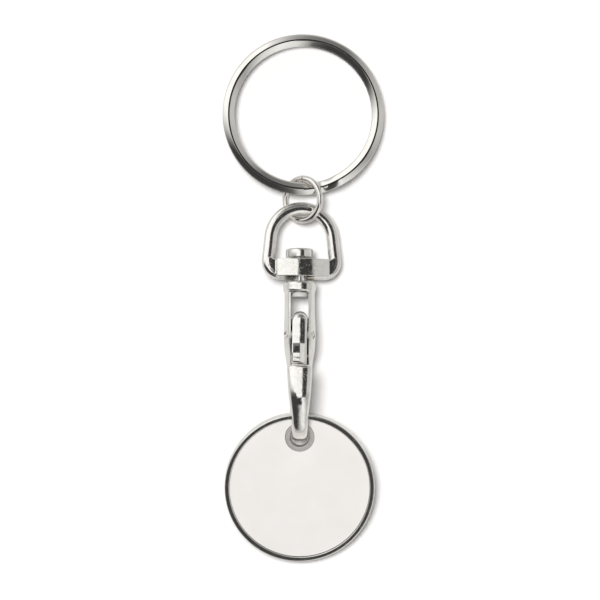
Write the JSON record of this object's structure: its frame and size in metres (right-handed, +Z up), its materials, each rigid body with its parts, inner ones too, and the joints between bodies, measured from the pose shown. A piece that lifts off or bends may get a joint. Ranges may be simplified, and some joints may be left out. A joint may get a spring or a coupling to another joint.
{
  "type": "trolley coin keyring",
  "caption": "Coin token with white faces on a swivel trigger hook, joined by a small ring to a flat-wire split ring for keys.",
  "frame": {"origin": "bottom centre of the keyring's bounding box as it lies on a table", "axes": "+Y from the coin towards the split ring, +Z up out of the table, +X to the right seen from above"},
  "size_m": [0.025, 0.0818, 0.0098],
  "materials": {
    "ring_wire": "bright nickel plate on spring steel wire",
    "hook_plating": "bright nickel plate on zinc casting",
    "spring_wire": "bare spring wire",
    "coin_plating": "bright nickel plate on a zinc token",
    "white_inlay": "plain white, softly glossy"
  },
  "bodies": {
    "hook": {"hook_body": "hook_plating", "swivel_rivet": "hook_plating", "latch_pin": "hook_plating", "latch_spring": "spring_wire"},
    "lever": {"latch_lever": "hook_plating"},
    "loop": {"swivel_loop": "hook_plating"},
    "link": {"jump_ring": "ring_wire"},
    "ring": {"split_ring": "ring_wire"},
    "coin": {"coin_blank": "coin_plating", "front_inlay": "white_inlay", "back_inlay": "white_inlay"}
  },
  "joints": [
    {"name": "latch_swing", "type": "hinge", "parent": "hook", "child": "lever", "pos_m": [-0.00055, -0.00574, 0.00603], "axis": [1, 0, 0], "range_deg": [0, 24], "stiffness_Nm_per_rad": 0.004, "springref_deg": -17.19, "deforming": ["latch_spring"]},
    {"name": "swivel_turn", "type": "hinge", "parent": "hook", "child": "loop", "pos_m": [-0.00055, 0.00244, 0.00328], "axis": [0, 0.9959, -0.0906], "continuous": true},
    {"name": "link_swing", "type": "hinge", "parent": "loop", "child": "link", "pos_m": [-0.00025, 0.01371, 0.0022], "axis": [0.9857, -0.0153, -0.1678], "range_deg": [-25, 90]},
    {"name": "ring_swing", "type": "hinge", "parent": "link", "child": "ring", "pos_m": [-0.00001, 0.01728, 0.00218], "axis": [0.9652, 0.257, -0.0482], "range_deg": [-20, 60]},
    {"name": "coin_swing", "type": "hinge", "parent": "hook", "child": "coin", "pos_m": [-0.00055, -0.01815, 0.00485], "axis": [1, 0, 0], "range_deg": [-65, 38]}
  ]
}
